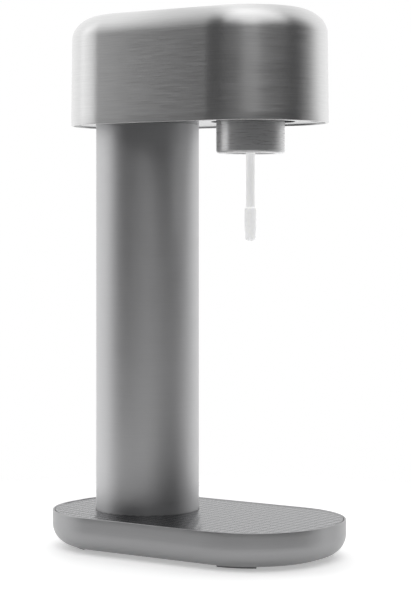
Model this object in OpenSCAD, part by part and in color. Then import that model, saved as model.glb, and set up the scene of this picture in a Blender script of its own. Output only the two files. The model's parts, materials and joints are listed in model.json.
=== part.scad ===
// Soda carbonator: a round column on a flat foot carries a head with a tilting bottle holder.
// The gas cylinder stands in the column and is loaded through a twist-lock hatch underneath.
// Frame: +X to the front, +Z up, origin on the table at the centre of the foot.

/* [Base] */
// Length of the foot, back to front
base_length = 237; // [225:1:260]
// Width of the foot
base_width = 141.6; // [136:0.2:150]
// Corner radius of the foot in plan
base_corner = 65; // [55:1:68]
// Height of the foot shell above its pads
base_height = 26.6; // [25:0.2:32]
// Radius where the foot's side rolls under
base_roll = 15.8; // [10:0.2:18]
// Height of the rubber pads below the foot shell
pad_height = 1.5; // [1:0.1:3]

/* [Column] */
// Distance of the column axis behind the foot's centre
column_back = 47; // [44:0.5:49]
// Outer radius of the column tube
column_radius = 40; // [40:0.5:42]
// Wall of the column tube
column_wall = 2; // [1.2:0.1:2]

/* [Head] */
// Height of the head's lower edge above the table
head_bottom = 325.1; // [325.1:0.1:326]
// Height of the head's top above the table
head_top = 411.3; // [411.3:0.1:416]
// Radius of the head's back end
head_back_radius = 55.5; // [54.5:0.1:58]
// Radius of the head's front end
head_front_radius = 58.8; // [57:0.1:62]
// Horizontal reach of the roll between side and top
head_roll_out = 25.5; // [22:0.1:26]
// Vertical reach of the roll between side and top
head_roll_down = 19.2; // [17:0.1:20]
// How far the side leans in from the lower edge to the roll
head_lean = 0.8; // [0:0.1:1.2]
// Wall of the head and foot shells
shell_wall = 2; // [1.5:0.1:2]

/* [Bottle holder] */
// Distance of the nozzle axis in front of the foot's centre
nozzle_front = 49.1; // [48:0.1:49.5]
// Outer radius of the bottle collar
collar_radius = 25.8; // [25:0.1:26]
// Height of the bottle collar's lower edge above the table
collar_bottom = 302.2; // [300:0.1:303]
// Height of the tilt axis above the table
tilt_height = 352; // [351:0.5:353]
// Height of the nozzle's lowest point above the table
nozzle_end = 236.5; // [230:0.5:240]
// Radius of the nozzle stem
stem_radius = 3.35; // [3.1:0.05:3.4]
// Radius of the nozzle tip
tip_radius = 4.5; // [4.3:0.05:5]

/* [Button and lever] */
// Radius of the button
button_radius = 17.3; // [16:0.1:17.5]
// How far the button travels
button_travel = 6; // [4:0.5:6]
// Distance of the lever pivot behind the foot's centre
lever_back = 82; // [81:0.5:83]

/* [Gas cylinder] */
// Radius of the gas cylinder
gas_radius = 30; // [29:0.1:30.5]
// Height of the gas cylinder's foot above the table
gas_bottom = 12; // [12:0.1:13]
// Height of the cylinder valve's top above the table
valve_top = 370; // [369.9:0.1:370]

/* [Hidden] */

// Colours
satin_aluminium = "#a9abad";
bright_aluminium = "#d3d5d6";
dark_deck = "#3a3b3d";
black_rubber = "#1c1c1d";
grey_frame = "#6d7073";
brass = "#c7a24b";
steel = "#b9bcc0";
white_plastic = "#e9eaea";
black_hose = "#2a2a2b";

// Fine and coarse roundness
fine = 96;
medium = 48;
arc_steps = 17;
tiny = 0.01;

// Base levels and offsets
column_x = -column_back;
nozzle_x = nozzle_front;
lever_x = -lever_back;
base_bottom = pad_height;
base_floor = base_bottom + shell_wall;
base_top = base_bottom + base_height;
corner_x = base_length / 2 - base_corner;
corner_y = base_width / 2 - base_corner;
deck_thickness = 2.2;
deck_gap = 0.5;
deck_top = base_top - 0.3;
deck_bottom = deck_top - deck_thickness;
column_gap = 0.4;
gasket_thickness = 0.6;
column_bottom = deck_bottom + gasket_thickness;
column_top = head_bottom + 19;
column_bore = column_radius - column_wall;

// Hatch levels
hatch_radius = 35.8;
hatch_clearance = 0.4;
hatch_bottom = base_bottom + 0.7;
hatch_top = gas_bottom - 1.5;
hatch_floor = 2;
lug_radius = hatch_radius + 3;
lug_bottom = 6.2;
lug_height = 2.5;
lug_angle = 24;
hub_radius = 44;
hub_bore = 32.5;
shell_hatch_hole = 40;

// Head levels and offsets
head_back_x = column_x - 5;
head_front_x = nozzle_x;
plate_bottom = head_bottom + 1;
plate_top = plate_bottom + 2;
chassis_top = plate_top + 3;
collar_hole = collar_radius + 4.1;
collar_swing = 4.5;
bridge_bottom = 354;
bridge_top = bridge_bottom + 4;
block_top = 380;
block_roof = valve_top + 1.5;
inlet_z = block_top - 4.5;
lever_bottom = 384;
lever_thickness = 5;
lever_z = lever_bottom + lever_thickness / 2;
push_rod_top = lever_bottom - 0.2;
stem_bottom = lever_bottom + lever_thickness + 0.3;
guide_floor = stem_bottom + 2.2;
cap_top = head_top - 0.3;
spring_seat = guide_floor + 2;
cap_underside = cap_top - 2.8;
skirt_bottom = cap_top - 9;
flange_bottom = head_top - shell_wall - 3.7;

// Screw sizes
screw_radius = 1.5;
screw_head = 2.8;
screw_play = 0.05;

// ---------- Outlines ----------
// Points along an arc of radius r about c, from angle a0 to a1
function arc(c, r, a0, a1, n = arc_steps) =
  [for (i = [0:n - 1]) c + r * [cos(a0 + (a1 - a0) * i / (n - 1)), sin(a0 + (a1 - a0) * i / (n - 1))]];

// Plan of the foot, moved in by inset
function base_outline(inset) = let (r = base_corner - inset) concat(
  arc([corner_x, corner_y], r, 0, 90),
  arc([-corner_x, corner_y], r, 90, 180),
  arc([-corner_x, -corner_y], r, 180, 270),
  arc([corner_x, -corner_y], r, 270, 360)
);

// Plan of the head, moved in by inset: two arcs of unlike radius joined by their tangents
head_tangent = acos((head_back_radius - head_front_radius) / (head_front_x - head_back_x));
function head_outline(inset) = concat(
  arc([head_front_x, 0], head_front_radius - inset, -head_tangent, head_tangent, 2 * arc_steps),
  arc([head_back_x, 0], head_back_radius - inset, head_tangent, 360 - head_tangent, 2 * arc_steps)
);

function lift(outline, z) = [for (p = outline) [p[0], p[1], z]];

// Closed solid through a stack of rings that all have the same number of points
module skin(rings) {
  n = len(rings[0]);
  m = len(rings);
  points = [for (r = rings) each r];
  sides = [for (j = [0:m - 2]) for (i = [0:n - 1]) for (t = [0, 1]) let (
    a = j * n + i, b = j * n + (i + 1) % n, c = a + n, d = b + n
  ) t == 0 ? [a, c, b] : [b, c, d]];
  first = [[for (i = [0:n - 1]) i]];
  last = [[for (i = [0:n - 1]) m * n - 1 - i]];
  polyhedron(points, concat(first, sides, last));
}

// Round bar that follows a path of points, for springs and the hose
module bar(path, radius, sides = 8) {
  m = len(path);
  function toward(i) = path[min(i + 1, m - 1)] - path[max(i - 1, 0)];
  function unit(v) = v / norm(v);
  rings = [for (i = [0:m - 1]) let (
    t = unit(toward(i)), u = unit(cross(t, abs(t[2]) < 0.9 ? [0, 0, 1] : [1, 0, 0])), v = cross(t, u)
  ) [for (k = [0:sides - 1]) path[i] + radius * (cos(360 * k / sides) * u + sin(360 * k / sides) * v)]];
  skin(rings);
}

// Centre line of a coil about the Z axis with a closed turn at each end
function coil(radius, height, turns, steps = 14) = [for (i = [0:turns * steps]) let (
  s = i / (turns * steps), closed = 1 / turns, rise = max(0, min(1, (s - closed / 2) / (1 - closed)))
) [radius * cos(360 * s * turns), radius * sin(360 * s * turns), height * rise]];

// ---------- Repeated shapes ----------
module ring(outer, inner, height, fn = fine) {
  difference() {
    cylinder(r = outer, h = height, $fn = fn);
    translate([0, 0, -1]) cylinder(r = inner, h = height + 2, $fn = fn);
  }
}

// Cap screw pointing up, its head's underside at z = 0
module screw_up(length, radius = screw_radius, head = screw_head, head_height = 1.6) {
  translate([0, 0, -tiny]) cylinder(r = radius, h = length + tiny, $fn = medium);
  translate([0, 0, -head_height]) difference() {
    cylinder(r = head, h = head_height, $fn = medium);
    translate([0, 0, -1]) cylinder(r = head * 0.45, h = 1.8, $fn = 6);
  }
}

module screw_down(length, radius = screw_radius, head = screw_head) {
  mirror([0, 0, 1]) screw_up(length, radius, head);
}

module at_points(points) {
  for (p = points) translate(p) children();
}

module around(count, radius, start = 0) {
  for (i = [0:count - 1]) rotate([0, 0, start + 360 * i / count]) translate([radius, 0, 0]) children();
}

// Ring sector of a given opening angle, centred on +X
module sector(outer, inner, height, angle) {
  rotate([0, 0, -angle / 2]) rotate_extrude(angle = angle, $fn = fine)
    translate([inner, 0]) square([outer - inner, height]);
}

// Hose barb along +X: a threaded end, a hex and a ribbed tail
module barb(thread, tail, radius = 2.4) {
  rotate([0, 90, 0]) difference() {
    union() {
      cylinder(r = 3, h = thread, $fn = medium);
      translate([0, 0, thread - tiny]) cylinder(r = 5, h = 3, $fn = 6);
      translate([0, 0, thread + 3 - 2 * tiny]) cylinder(r = radius, h = tail, $fn = medium);
      for (i = [0:2]) translate([0, 0, thread + 4 + i * tail / 4])
        cylinder(r1 = radius + 0.5, r2 = radius, h = tail / 5, $fn = medium);
    }
    translate([0, 0, -1]) cylinder(r = 1.2, h = thread + tail + 6, $fn = medium);
  }
}

// ---------- Base ----------
base_screw_points = [[12, 46], [12, -46], [96, 0], [-96.5, 0]];
front_pad_angle = 70;
back_pad_angle = 128.5;
pad_outer = base_corner - base_roll - 0.8;
pad_inner = pad_outer - 7.5;

// Rings of the foot's bowl, from the middle of the roll up to the rim
function bowl_side(inset, floor_z) = [for (a = [90:-15:0]) let (
  roll = base_roll - (inset > 0 ? inset / 2 : 0)
) lift(base_outline(inset + roll * (1 - cos(a))), floor_z + roll * (1 - sin(a)))];

module base_shell() {
  outer = bowl_side(0, base_bottom);
  inner = bowl_side(shell_wall * 0.75, base_floor);
  rim_out = [lift(base_outline(0), base_top - 0.4), lift(base_outline(0.4), base_top)];
  rim_in = [lift(base_outline(shell_wall * 0.75), base_top)];
  inner_down = [for (i = [len(inner) - 1:-1:0]) inner[i]];
  color(satin_aluminium) difference() {
    skin(concat(outer, rim_out, rim_in, inner_down));
    translate([column_x, 0, 0]) cylinder(r = shell_hatch_hole, h = base_floor + 1, $fn = fine);
    at_points([for (p = base_screw_points) [p[0], p[1], 0]])
      cylinder(r = screw_radius + 0.3, h = base_floor + 1, $fn = medium);
  }
}

module foot_pad(x, y, side, angle) {
  translate([x, y, 0]) rotate([0, 0, angle * side]) sector(pad_outer, pad_inner, pad_height, 36);
}

module foot_pads() {
  color(black_rubber) for (side = [-1, 1]) {
    foot_pad(corner_x, side * corner_y, side, front_pad_angle);
    foot_pad(-corner_x, side * corner_y, side, back_pad_angle);
  }
}

module hatch_notch() {
  translate([0, 0, base_bottom - 1])
    sector(lug_radius + 0.4, hatch_radius - 1, lug_bottom - base_bottom + 1, 28);
}

core_top = deck_bottom;
core_flange = 3;
core_inset = 3.2;
boss_radius = 5;

module base_core() {
  color(grey_frame) difference() {
    union() {
      translate([0, 0, core_top - core_flange]) linear_extrude(core_flange) polygon(base_outline(core_inset));
      translate([column_x, 0, base_floor]) cylinder(r = hub_radius, h = core_top - base_floor, $fn = fine);
      translate([column_x, 0, base_bottom + 0.2])
        cylinder(r = shell_hatch_hole - 0.2, h = base_floor - base_bottom, $fn = fine);
      for (y = [-22, 22]) translate([-10, y - 1.2, 8]) cube([82, 2.4, core_top - 9]);
      for (x = [20, 52]) translate([x - 1.2, -38, 8]) cube([2.4, 76, core_top - 9]);
      at_points([for (p = base_screw_points) [p[0], p[1], base_floor]])
        cylinder(r = boss_radius, h = core_top - base_floor - 1, $fn = medium);
    }
    translate([column_x, 0, 0]) {
      cylinder(r = hatch_radius + hatch_clearance, h = gas_bottom, $fn = fine);
      translate([0, 0, lug_bottom - 0.3]) cylinder(r = lug_radius + 0.4, h = lug_height + 0.6, $fn = fine);
      for (i = [0:2]) rotate([0, 0, 120 * i + 40]) hatch_notch();
      cylinder(r = hub_bore, h = core_top + 1, $fn = fine);
      around(4, column_screw_circle, 45) {
        cylinder(r = screw_radius + 0.1, h = core_top + 1, $fn = medium);
        cylinder(r = 1.95, h = gas_bottom + 2, $fn = medium);
      }
    }
    at_points([for (p = base_screw_points) [p[0], p[1], base_floor - 1]])
      cylinder(r = screw_radius + screw_play, h = 15, $fn = medium);
  }
}

module drip_deck() {
  color(dark_deck) difference() {
    translate([0, 0, deck_bottom]) linear_extrude(deck_thickness)
      polygon(base_outline(shell_wall * 0.75 + deck_gap));
    translate([column_x, 0, deck_bottom - 1])
      cylinder(r = column_radius + column_gap, h = deck_thickness + 2, $fn = fine);
  }
}

module base_screws() {
  color(steel) at_points([for (p = base_screw_points) [p[0], p[1], base_bottom]])
    screw_up(13, screw_radius, screw_head, 1.2);
}

module rating_plate() {
  color(bright_aluminium) translate([34, -11, base_bottom - 0.4]) cube([38, 22, 0.4]);
}

// ---------- Column ----------
column_screw_circle = 34.3;
liner_bore = 31.6;
liner_radius = 33.6;
liner_flange = 4;
liner_top = column_top;

module column_tube() {
  color(satin_aluminium) translate([column_x, 0, column_bottom])
    ring(column_radius, column_bore, column_top - column_bottom);
}

module column_gasket() {
  color(black_rubber) translate([column_x, 0, deck_bottom])
    ring(column_radius, column_bore + 0.2, gasket_thickness);
}

module column_liner() {
  rib = column_bore - liner_radius - 0.1;
  color(grey_frame) translate([column_x, 0, 0]) difference() {
    union() {
      translate([0, 0, core_top]) cylinder(r = liner_radius, h = liner_top - core_top, $fn = fine);
      translate([0, 0, core_top]) cylinder(r = column_bore - 0.1, h = liner_flange, $fn = fine);
      translate([0, 0, liner_top - liner_flange])
        cylinder(r = column_bore - 0.1, h = liner_flange, $fn = fine);
      around(6, liner_radius - 0.5) translate([0, -1, core_top + 1])
        cube([rib + 0.4, 2, liner_top - core_top - 2]);
    }
    translate([0, 0, core_top - 1]) cylinder(r = liner_bore, h = liner_top, $fn = fine);
    around(4, column_screw_circle, 45) for (z = [core_top - 1, liner_top - 19])
      translate([0, 0, z]) cylinder(r = screw_radius + screw_play, h = 20, $fn = medium);
  }
}

module column_screws() {
  color(steel) translate([column_x, 0, 0]) {
    translate([0, 0, gas_bottom + 2]) around(4, column_screw_circle, 45)
      screw_up(18, screw_radius, 1.75, 1.2);
    translate([0, 0, column_top + 2]) around(4, column_screw_circle, 45) screw_down(18, screw_radius, 1.75);
  }
}

// ---------- Hatch ----------
grip_width = 11;

module hatch_cover() {
  color(grey_frame) translate([column_x, 0, 0]) {
    difference() {
      translate([0, 0, hatch_bottom]) cylinder(r = hatch_radius, h = hatch_top - hatch_bottom, $fn = fine);
      translate([0, 0, hatch_bottom - 1]) difference() {
        cylinder(r = hatch_radius - 5.8, h = hatch_top - hatch_floor - hatch_bottom + 1, $fn = fine);
        translate([-grip_width / 2, -hatch_radius, 0]) cube([grip_width, 2 * hatch_radius, 20]);
      }
    }
    around(3, hatch_radius - 0.5) translate([-(hatch_radius - 0.5), 0, lug_bottom])
      sector(lug_radius, hatch_radius - 0.5, lug_height, lug_angle);
  }
}

module hatch_pad() {
  color(black_rubber) translate([column_x, 0, hatch_top])
    cylinder(r = 24, h = gas_bottom - hatch_top, $fn = fine);
}

// ---------- Gas cylinder ----------
gas_wall = 3.5;
gas_shoulder = 312;
neck_radius = 13.5;
neck_bore = 8;
neck_top = 346;
hex_top = neck_top + 6;
thread_bottom = hex_top + 4;
thread_radius = 10.4;
valve_bore = 3.2;
valve_well = neck_top + 3;

// Outside of the cylinder from its foot to its neck, moved in by inset
function gas_profile(inset) = concat(
  [[0, gas_bottom + inset], [gas_radius - 6 - inset / 2, gas_bottom + inset]],
  arc([gas_radius - 6, gas_bottom + 6], 6 - inset, -60, 0, 5),
  [for (a = [0:15:75]) [
    neck_radius - inset + (gas_radius - neck_radius) * cos(a),
    gas_shoulder + (neck_top - 7 - gas_shoulder - inset) * sin(a)
  ]]
);

module gas_cylinder() {
  outside = concat(gas_profile(0), [[neck_radius, neck_top - 7], [neck_radius, neck_top], [0, neck_top]]);
  bore = [[neck_bore, neck_top - 9], [neck_bore, neck_top + 1], [0, neck_top + 1]];
  inside = concat(gas_profile(gas_wall), bore);
  color("#8d9094") translate([column_x, 0, 0]) rotate_extrude($fn = fine) difference() {
    polygon(outside);
    polygon(inside);
  }
}

module cylinder_valve() {
  color(brass) translate([column_x, 0, 0]) difference() {
    union() {
      translate([0, 0, neck_top - 12]) cylinder(r = neck_bore - 0.05, h = 13, $fn = medium);
      translate([0, 0, neck_top]) cylinder(r = 13, h = hex_top - neck_top, $fn = 6);
      translate([0, 0, hex_top - tiny]) cylinder(r = 9, h = thread_bottom - hex_top + 2 * tiny, $fn = medium);
      translate([0, 0, thread_bottom])
        cylinder(r = thread_radius - 1, h = valve_top - thread_bottom, $fn = medium);
      for (i = [0:3]) translate([0, 0, thread_bottom + 0.8 + 3.2 * i])
        cylinder(r = thread_radius, h = 1.8, $fn = medium);
    }
    translate([0, 0, valve_well]) cylinder(r = valve_bore, h = 40, $fn = medium);
    translate([0, 0, neck_top - 13]) cylinder(r = 1.5, h = 20, $fn = medium);
    rotate([0, 0, 30]) translate([9, 0, neck_top + 3]) rotate([0, 90, 0])
      cylinder(r = 2, h = 6, $fn = medium);
  }
}

module burst_plug() {
  color(brass) translate([column_x, 0, 0]) rotate([0, 0, 30]) translate([9.2, 0, neck_top + 3])
    rotate([0, 90, 0]) union() {
      cylinder(r = 1.95, h = 3, $fn = medium);
      translate([0, 0, 2.2]) cylinder(r = 3, h = 3, $fn = 6);
    }
}

pin_bottom = 359.5;

module valve_pin() {
  color(steel) translate([column_x, 0, pin_bottom]) {
    cylinder(r = 2.9, h = 1.5, $fn = medium);
    translate([0, 0, 1]) cylinder(r = 1.5, h = valve_top - 0.5 - pin_bottom - 1, $fn = medium);
  }
}

module valve_pin_spring() {
  wire = 0.35;
  color(steel) translate([column_x, 0, valve_well + wire + 0.1])
    bar(coil(2.3, pin_bottom - valve_well - 2 * wire - 0.2, 7, 12), wire, 6);
}

// ---------- Head ----------
head_screw_points = [[92, 22], [92, -22], [10, 49], [10, -49], [-92, 30], [-92, -30]];
roll_steps = [for (a = [0:11.25:90]) a];

// One ring of the head at angle a through the roll, for the face moved in by wall
function head_ring(a, wall) = lift(
  head_outline(wall + head_lean + (head_roll_out - wall / 2) * (1 - cos(a))),
  head_top - wall - (head_roll_down - wall / 2) * (1 - sin(a))
);

module head_shell() {
  top = [for (i = [len(roll_steps) - 1:-1:0]) head_ring(roll_steps[i], 0)];
  edge = [lift(head_outline(0), head_bottom + 0.4), lift(head_outline(0.4), head_bottom),
    lift(head_outline(shell_wall), head_bottom)];
  inside = [for (a = roll_steps) head_ring(a, shell_wall)];
  color(satin_aluminium) difference() {
    skin(concat(top, edge, inside));
    translate([nozzle_x, 0, head_top - 4]) cylinder(r = button_radius + 0.6, h = 6, $fn = fine);
  }
}

// Openings for the column and for the collar, which is longer forwards for the tilt
module plate_openings(z, height) {
  translate([column_x, 0, z]) cylinder(r = column_radius + 0.2, h = height, $fn = fine);
  for (x = [0, collar_swing]) translate([nozzle_x + x, 0, z]) cylinder(r = collar_hole, h = 30, $fn = fine);
  translate([nozzle_x, -collar_hole, z]) cube([collar_swing, 2 * collar_hole, 30]);
}

module head_underplate() {
  color(bright_aluminium) difference() {
    translate([0, 0, plate_bottom]) linear_extrude(plate_top - plate_bottom)
      polygon(head_outline(shell_wall + 0.25));
    plate_openings(plate_bottom - 1, 30);
    at_points([for (p = head_screw_points) [p[0], p[1], plate_bottom - 1]]) {
      cylinder(r = screw_radius + 0.2, h = 10, $fn = medium);
      cylinder(r = screw_head + 0.2, h = 2.2, $fn = medium);
    }
  }
}

module head_chassis() {
  color(grey_frame) difference() {
    union() {
      translate([0, 0, plate_top]) linear_extrude(chassis_top - plate_top)
        polygon(head_outline(shell_wall + head_lean + 1));
      translate([column_x, 0, plate_top]) cylinder(r = 44, h = column_top + 2 - plate_top, $fn = fine);
      for (y = [-38, 38]) translate([-25, y - 1.5, plate_top]) cube([62, 3, 11]);
    }
    plate_openings(plate_top - 1, column_top - plate_top + 1);
    translate([column_x, 0, column_top - 1]) cylinder(r = liner_bore + 0.2, h = 10, $fn = fine);
    translate([column_x, 0, column_top - 1]) around(4, column_screw_circle, 45)
      cylinder(r = screw_radius + 0.1, h = 8, $fn = medium);
    at_points([for (p = head_screw_points) [p[0], p[1], plate_top - 1]])
      cylinder(r = screw_radius + 0.2, h = 12, $fn = medium);
    at_points(concat(bridge_post_points(plate_top - 1), bracket_screw_points(plate_top - 1))) {
      cylinder(r = screw_radius + 0.2, h = 12, $fn = medium);
      cylinder(r = 2.8, h = 2.2, $fn = medium);
    }
  }
}

// Moulded rim bonded inside the head shell, which the head screws bite into
module shell_rim() {
  rim_height = 7;
  color(grey_frame) translate([0, 0, chassis_top]) difference() {
    intersection() {
      linear_extrude(rim_height) polygon(head_outline(shell_wall + 0.3));
      union() {
        difference() {
          linear_extrude(rim_height) polygon(head_outline(0));
          translate([0, 0, -1]) linear_extrude(rim_height + 2) polygon(head_outline(shell_wall + 2.8));
        }
        at_points([for (p = head_screw_points) [p[0], p[1], 0]])
          cylinder(r = 6.5, h = rim_height, $fn = medium);
      }
    }
    at_points([for (p = head_screw_points) [p[0], p[1], -1]])
      cylinder(r = screw_radius + screw_play, h = 12, $fn = medium);
  }
}

module head_screws() {
  color(steel) at_points([for (p = head_screw_points) [p[0], p[1], plate_bottom + 1.2]])
    screw_up(9, screw_radius, screw_head, 1.1);
}

// ---------- Gas valve ----------
post_x = [column_x - 22, column_x + 22];
post_y = 43.5;
function bridge_post_points(z) = [for (x = post_x) for (y = [-post_y, post_y]) [x, y, z]];
block_screw_circle = 19;
block_flange = 23;

module valve_bridge() {
  color(grey_frame) difference() {
    union() {
      intersection() {
        translate([column_x - 28, -60, bridge_bottom]) cube([56, 120, bridge_top - bridge_bottom]);
        translate([0, 0, bridge_bottom]) linear_extrude(bridge_top - bridge_bottom) polygon(head_outline(6));
      }
      translate([lever_x - 6, -14, bridge_bottom]) cube([20, 28, bridge_top - bridge_bottom]);
      at_points(bridge_post_points(chassis_top))
        cylinder(r = 3.6, h = bridge_bottom - chassis_top + 1, $fn = medium);
    }
    translate([column_x, 0, bridge_bottom - 1]) cylinder(r = 14.5, h = 8, $fn = fine);
    at_points(bridge_post_points(chassis_top - 1))
      cylinder(r = screw_radius + screw_play, h = 12, $fn = medium);
    translate([column_x, 0, bridge_bottom - 1]) around(4, block_screw_circle, 45)
      cylinder(r = 1.25 + screw_play, h = 8, $fn = medium);
    at_points([for (y = [-10.5, 10.5]) [lever_x + 8, y, bridge_bottom - 1]])
      cylinder(r = 1.25 + screw_play, h = 8, $fn = medium);
  }
}

module bridge_screws() {
  heads = plate_top + 1.2;
  color(steel) at_points(concat(bridge_post_points(heads), bracket_screw_points(heads)))
    screw_up(10, screw_radius, 2.6, 1.1);
}

module valve_block() {
  color(brass) translate([column_x, 0, 0]) difference() {
    union() {
      translate([0, 0, bridge_top]) cylinder(r = 16, h = block_top - bridge_top, $fn = fine);
      translate([0, 0, bridge_top]) cylinder(r = block_flange, h = 3, $fn = fine);
    }
    translate([0, 0, bridge_top - 1])
      cylinder(r = thread_radius + 0.1, h = block_roof - bridge_top + 1, $fn = fine);
    cylinder(r = 2.56, h = block_top + 1, $fn = medium);
    around(4, block_screw_circle, 45) translate([0, 0, bridge_top - 1])
      cylinder(r = 1.25 + 0.1, h = 8, $fn = medium);
    translate([0, 0, inlet_z]) rotate([0, 90, 0]) cylinder(r = 1.2, h = 20, $fn = medium);
    translate([8, 0, inlet_z]) rotate([0, 90, 0]) cylinder(r = 3 + screw_play, h = 20, $fn = medium);
  }
}

module block_screws() {
  color(steel) {
    translate([column_x, 0, bridge_top + 3]) around(4, block_screw_circle, 45) screw_down(6.5, 1.25, 2.4);
    at_points([for (y = [-10.5, 10.5]) [lever_x + 8, y, bridge_top + 2]]) screw_down(6.5, 1.25, 2.4);
  }
}

module socket_washer() {
  color(white_plastic) translate([column_x, 0, valve_top + 0.05])
    ring(thread_radius - 0.2, 3.4, block_roof - valve_top - 0.1);
}

module push_rod() {
  color(steel) translate([column_x, 0, valve_top - 0.2])
    cylinder(r = 2.5, h = push_rod_top - valve_top + 0.2, $fn = medium);
}

module push_rod_gland() {
  color(black_rubber) translate([column_x, 0, block_top]) ring(4.6, 2.6, 1.4);
}

module inlet_fitting() {
  color(brass) translate([column_x + 8.2, 0, inlet_z]) barb(8.3, 10);
}

// ---------- Lever ----------
module lever_bracket() {
  color(steel) difference() {
    union() {
      translate([lever_x - 5, -13.5, bridge_top]) cube([16, 27, 2]);
      for (y = [-12, 9.5]) translate([lever_x - 5, y, bridge_top]) cube([10, 2.5, lever_z - bridge_top]);
      for (y = [-12, 9.5]) translate([lever_x, y, lever_z]) rotate([-90, 0, 0])
        cylinder(r = 5, h = 2.5, $fn = medium);
    }
    translate([lever_x, -20, lever_z]) rotate([-90, 0, 0]) cylinder(r = 2, h = 40, $fn = medium);
    at_points([for (y = [-10.5, 10.5]) [lever_x + 8, y, bridge_top - 1]])
      cylinder(r = 1.35, h = 8, $fn = medium);
  }
}

module lever_pin() {
  color(steel) translate([lever_x, -13.5, lever_z]) rotate([-90, 0, 0]) cylinder(r = 2, h = 27, $fn = medium);
}

module lever() {
  reach = nozzle_x + 8;
  color("#7d8084") difference() {
    union() {
      translate([lever_x, -8, lever_z]) rotate([-90, 0, 0]) cylinder(r = 5, h = 16, $fn = medium);
      translate([lever_x, -8, lever_bottom]) cube([reach - lever_x - 7, 16, lever_thickness]);
      translate([reach - 7, 0, lever_bottom]) cylinder(r = 8, h = lever_thickness, $fn = medium);
    }
    translate([lever_x, -20, lever_z]) rotate([-90, 0, 0]) cylinder(r = 2.05, h = 40, $fn = medium);
    for (y = [-4.4, 4.4]) translate([lever_x + 48, y - 2, lever_bottom + 2]) cube([66, 4, lever_thickness]);
  }
}

// ---------- Button ----------
module button_cap() {
  color(satin_aluminium) translate([nozzle_x, 0, 0]) difference() {
    union() {
      translate([0, 0, skirt_bottom]) cylinder(r = button_radius, h = cap_top - skirt_bottom, $fn = fine);
      translate([0, 0, flange_bottom]) cylinder(r = button_radius + 1.8, h = 1.5, $fn = fine);
    }
    translate([0, 0, skirt_bottom - 1])
      cylinder(r = button_radius - 1.8, h = cap_underside - skirt_bottom + 1, $fn = fine);
  }
}

module button_stem() {
  color(white_plastic) translate([nozzle_x, 0, stem_bottom])
    cylinder(r = 6, h = cap_underside - stem_bottom, $fn = medium);
}

module button_guide() {
  color(grey_frame) translate([nozzle_x, 0, 0]) difference() {
    translate([0, 0, guide_floor]) cylinder(r = 21.6, h = head_top - shell_wall - guide_floor, $fn = fine);
    translate([0, 0, spring_seat])
      cylinder(r = button_radius + 2.1, h = head_top - shell_wall - 2 - spring_seat, $fn = fine);
    translate([0, 0, spring_seat]) cylinder(r = button_radius + 0.6, h = 30, $fn = fine);
    translate([0, 0, guide_floor - 1]) cylinder(r = 6.5, h = 10, $fn = medium);
  }
}

module button_spring() {
  wire = 0.7;
  color(steel) translate([nozzle_x, 0, spring_seat + wire])
    bar(coil(10, cap_underside - spring_seat - 2 * wire - 0.1, 5, 18), wire);
}

// ---------- Bottle holder ----------
collar_wall = 1.6;
bracket_y = 35.5;
bracket_width = 5;
tilt_pin_radius = 2.5;
tilt_bore = tilt_pin_radius + 0.05;
body_radius = 15;
body_bottom = 327.5;
body_top = 366;
carrier_bottom = 323;
seal_bottom = 323.6;
function bracket_screw_points(z) = [for (y = [-42, 42]) [nozzle_x, y, z]];

module tilt_brackets() {
  color(grey_frame) for (side = [-1, 1]) translate([nozzle_x, side * bracket_y, 0]) difference() {
    union() {
      translate([-7, side > 0 ? 0 : -bracket_width, chassis_top])
        cube([14, bracket_width, tilt_height - chassis_top]);
      translate([0, side > 0 ? 0 : -bracket_width, tilt_height]) rotate([-90, 0, 0])
        cylinder(r = 7, h = bracket_width, $fn = medium);
      translate([-7, side > 0 ? 0 : -9, chassis_top]) cube([14, 9, 3]);
    }
    translate([0, -20, tilt_height]) rotate([-90, 0, 0]) cylinder(r = tilt_pin_radius, h = 40, $fn = medium);
    translate([0, side * (42 - bracket_y), chassis_top - 1])
      cylinder(r = screw_radius + screw_play, h = 12, $fn = medium);
  }
}

module tilt_pins() {
  length = bracket_y + bracket_width - 12;
  color(steel) for (side = [-1, 1]) translate([nozzle_x, side > 0 ? 12 : -length - 12, tilt_height])
    rotate([-90, 0, 0]) difference() {
      cylinder(r = tilt_pin_radius, h = length, $fn = medium);
      if (side < 0) translate([0, 0, -1]) cylinder(r = 1.2, h = length + 2, $fn = medium);
    }
}

module tilt_spring() {
  wire = 0.6;
  turns = 4;
  path = [for (i = [0:turns * 14]) let (a = 360 * i / 14)
    [4.2 * cos(a), 0, 4.2 * sin(a)] + [0, 1.5 * i / 14, 0]];
  leg_in = [[4.2 + 0.5, -0.6, -8], [4.2, -0.2, -3]];
  leg_out = [[4.3, turns * 1.5 + 0.2, 3], [5, turns * 1.5 + 0.6, 9]];
  color(steel) translate([nozzle_x, bracket_y - turns * 1.5 - 2.4, tilt_height])
    bar(concat(leg_in, path, leg_out), wire, 6);
}

module nozzle_collar() {
  wall = collar_wall;
  round_out = 2.6;
  lip = 19.8;
  top = carrier_bottom + 12;
  inside = collar_radius - wall;
  profile = concat(
    [[lip, collar_bottom]],
    arc([collar_radius - round_out, collar_bottom + round_out], round_out, -90, 0, 7),
    [[collar_radius, top], [inside, top], [inside, collar_bottom + 2.4], [lip, collar_bottom + 2.4]]
  );
  color(bright_aluminium) translate([nozzle_x, 0, 0]) difference() {
    rotate_extrude($fn = fine) polygon(profile);
    around(3, 0, 60) translate([collar_radius - wall - 1, 0, body_bottom + 2]) rotate([0, 90, 0])
      cylinder(r = 1.1, h = 4, $fn = medium);
  }
}

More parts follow.
